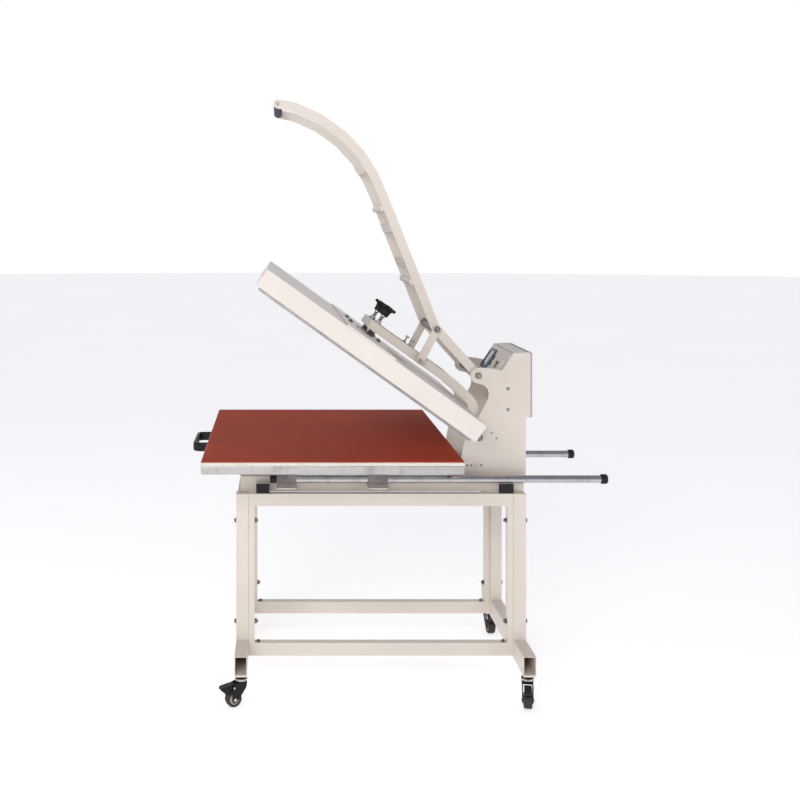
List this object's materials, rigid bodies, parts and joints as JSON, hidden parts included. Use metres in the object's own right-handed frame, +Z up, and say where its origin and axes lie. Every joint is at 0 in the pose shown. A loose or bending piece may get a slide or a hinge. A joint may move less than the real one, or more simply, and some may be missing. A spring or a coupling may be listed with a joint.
{
  "type": "heat press",
  "caption": "Clamshell heat press with a pull-out padded lower table, toggle handle, star-knob pressure screws and a wheeled tube stand.",
  "frame": {"origin": "on the floor under the middle of the bounding box, with the head raised, the handle up and the table pushed in", "axes": "+Z up, -Y towards the operator at the front, +X the operator's right"},
  "size_m": [1.02, 1.375, 1.9487],
  "materials": {
    "paint": "warm off-white powder coat",
    "head_paint": "off-white powder coat, slightly lighter",
    "aluminium": "milled, brushed",
    "chromed_steel": "ground and chromed",
    "bearing": "dark grey cast housing",
    "black_plastic": "moulded black",
    "dark_steel": "blackened steel",
    "red_silicone": "brick-red silicone, fine texture",
    "cream_foam": "cream sponge",
    "grip_rubber": "dark grey textured grip",
    "tread": "dark caster tread",
    "blue_grey_sheet": "blue-grey sheet",
    "switch_brown": "glossy brown rocker",
    "panel_grey": "grey panel"
  },
  "bodies": {
    "stand": {"front_end_frame": "paint", "rear_end_frame": "paint", "right_side_frame": "paint", "left_side_frame": "paint", "base_frame": "paint", "front_right_tube_cap": "black_plastic", "front_left_tube_cap": "black_plastic", "rear_right_tube_cap": "black_plastic", "rear_left_tube_cap": "black_plastic", "front_right_bearing_block": "bearing", "front_left_bearing_block": "bearing", "rear_right_bearing_block": "bearing", "rear_left_bearing_block": "bearing", "right_side_plate": "paint", "left_side_plate": "paint", "rear_cover": "blue_grey_sheet", "upright_brace": "paint", "control_box": "paint", "control_panel": "panel_grey", "handle_shaft": "dark_steel", "head_pivot_shaft": "dark_steel"},
    "table": {"platen_slab": "aluminium", "foam_pad": "cream_foam", "silicone_sheet": "red_silicone", "pull_handle": "black_plastic", "right_slide_rod": "chromed_steel", "left_slide_rod": "chromed_steel", "right_rod_hanger": "aluminium", "left_rod_hanger": "aluminium", "right_rod_front_cap": "black_plastic", "left_rod_front_cap": "black_plastic", "right_rod_rear_cap": "black_plastic", "left_rod_rear_cap": "black_plastic"},
    "head": {"head_carrier": "paint", "head_cover": "head_paint", "heater_plate": "aluminium"},
    "right_knob": {"right_pressure_screw": "chromed_steel", "right_star_knob": "black_plastic"},
    "left_knob": {"left_pressure_screw": "chromed_steel", "left_star_knob": "black_plastic"},
    "handle": {"handle_frame": "paint", "handle_grip": "grip_rubber"},
    "links": {"right_toggle_link": "paint", "left_toggle_link": "paint", "link_shaft": "dark_steel"},
    "switch": {"power_switch": "switch_brown"},
    "upper_key": {"up_key": "black_plastic"},
    "lower_key": {"down_key": "black_plastic"},
    "front_right_fork": {"front_right_caster_fork": "black_plastic"},
    "front_right_wheel": {"front_right_caster_wheel": "tread"},
    "front_right_pedal": {"front_right_brake_pedal": "black_plastic"},
    "rear_right_fork": {"rear_right_caster_fork": "black_plastic"},
    "rear_right_wheel": {"rear_right_caster_wheel": "tread"},
    "rear_right_pedal": {"rear_right_brake_pedal": "black_plastic"},
    "front_left_fork": {"front_left_caster_fork": "black_plastic"},
    "front_left_wheel": {"front_left_caster_wheel": "tread"},
    "front_left_pedal": {"front_left_brake_pedal": "black_plastic"},
    "rear_left_fork": {"rear_left_caster_fork": "black_plastic"},
    "rear_left_wheel": {"rear_left_caster_wheel": "tread"},
    "rear_left_pedal": {"rear_left_brake_pedal": "black_plastic"}
  },
  "joints": [
    {"name": "table_slide", "type": "slide", "parent": "stand", "child": "table", "axis": [0, -1, 0], "range_m": [0, 0.28]},
    {"name": "head_hinge", "type": "hinge", "parent": "stand", "child": "head", "pos_m": [0, 0.2715, 0.8215], "axis": [1, 0, 0], "range_deg": [0, 35.6]},
    {"name": "handle_hinge", "type": "hinge", "parent": "stand", "child": "handle", "pos_m": [0, 0.27, 1.027], "axis": [1, 0, 0], "range_deg": [0, 61]},
    {"name": "link_hinge", "type": "hinge", "parent": "handle", "child": "links", "pos_m": [0, 0.13265, 1.18053], "axis": [1, 0, 0], "range_deg": [-90.15, 0]},
    {"name": "right_knob_turn", "type": "hinge", "parent": "head", "child": "right_knob", "pos_m": [0.1145, -0.06789, 1.18747], "axis": [0, 0.5821, 0.8131], "continuous": true},
    {"name": "left_knob_turn", "type": "hinge", "parent": "head", "child": "left_knob", "pos_m": [-0.1145, -0.06789, 1.18747], "axis": [0, 0.5821, 0.8131], "continuous": true},
    {"name": "switch_rock", "type": "hinge", "parent": "stand", "child": "switch", "pos_m": [0.093, 0.34893, 1.0525], "axis": [1, 0, 0], "range_deg": [-8, 0]},
    {"name": "upper_key_press", "type": "slide", "parent": "stand", "child": "upper_key", "axis": [0, 0.8281, -0.5606], "range_m": [0, 0.0015], "stiffness_N_per_m": 200, "springref_m": -0.001},
    {"name": "lower_key_press", "type": "slide", "parent": "stand", "child": "lower_key", "axis": [0, 0.8281, -0.5606], "range_m": [0, 0.0015], "stiffness_N_per_m": 200, "springref_m": -0.001},
    {"name": "front_right_swivel", "type": "hinge", "parent": "stand", "child": "front_right_fork", "pos_m": [0.33, -0.515, 0.09], "axis": [0, 0, 1], "continuous": true},
    {"name": "front_right_roll", "type": "hinge", "parent": "front_right_fork", "child": "front_right_wheel", "pos_m": [0.34141, -0.53947, 0.0255], "axis": [0.9063, 0.4226, 0], "continuous": true},
    {"name": "front_right_brake", "type": "hinge", "parent": "front_right_fork", "child": "front_right_pedal", "pos_m": [0.34268, -0.54219, 0.0635], "axis": [0.9063, 0.4226, 0], "range_deg": [0, 8]},
    {"name": "rear_right_swivel", "type": "hinge", "parent": "stand", "child": "rear_right_fork", "pos_m": [0.33, 0.397, 0.09], "axis": [0, 0, 1], "continuous": true},
    {"name": "rear_right_roll", "type": "hinge", "parent": "rear_right_fork", "child": "rear_right_wheel", "pos_m": [0.35659, 0.39231, 0.0255], "axis": [0.1736, 0.9848, 0], "continuous": true},
    {"name": "rear_right_brake", "type": "hinge", "parent": "rear_right_fork", "child": "rear_right_pedal", "pos_m": [0.35954, 0.39179, 0.0635], "axis": [0.1736, 0.9848, 0], "range_deg": [0, 8]},
    {"name": "front_left_swivel", "type": "hinge", "parent": "stand", "child": "front_left_fork", "pos_m": [-0.33, -0.515, 0.09], "axis": [0, 0, 1], "continuous": true},
    {"name": "front_left_roll", "type": "hinge", "parent": "front_left_fork", "child": "front_left_wheel", "pos_m": [-0.3569, -0.51735, 0.0255], "axis": [0.0872, -0.9962, 0], "continuous": true},
    {"name": "front_left_brake", "type": "hinge", "parent": "front_left_fork", "child": "front_left_pedal", "pos_m": [-0.35989, -0.51761, 0.0635], "axis": [0.0872, -0.9962, 0], "range_deg": [0, 8]},
    {"name": "rear_left_swivel", "type": "hinge", "parent": "stand", "child": "rear_left_fork", "pos_m": [-0.33, 0.397, 0.09], "axis": [0, 0, 1], "continuous": true},
    {"name": "rear_left_roll", "type": "hinge", "parent": "rear_left_fork", "child": "rear_left_wheel", "pos_m": [-0.3031, 0.39935, 0.0255], "axis": [-0.0872, 0.9962, 0], "continuous": true},
    {"name": "rear_left_brake", "type": "hinge", "parent": "rear_left_fork", "child": "rear_left_pedal", "pos_m": [-0.30011, 0.39961, 0.0635], "axis": [-0.0872, 0.9962, 0], "range_deg": [0, 8]}
  ],
  "couplings": [
    {"joint": "handle_hinge", "follows": "head_hinge", "ratio": 1.7134},
    {"joint": "link_hinge", "follows": "head_hinge", "ratio": -2.5322}
  ]
}
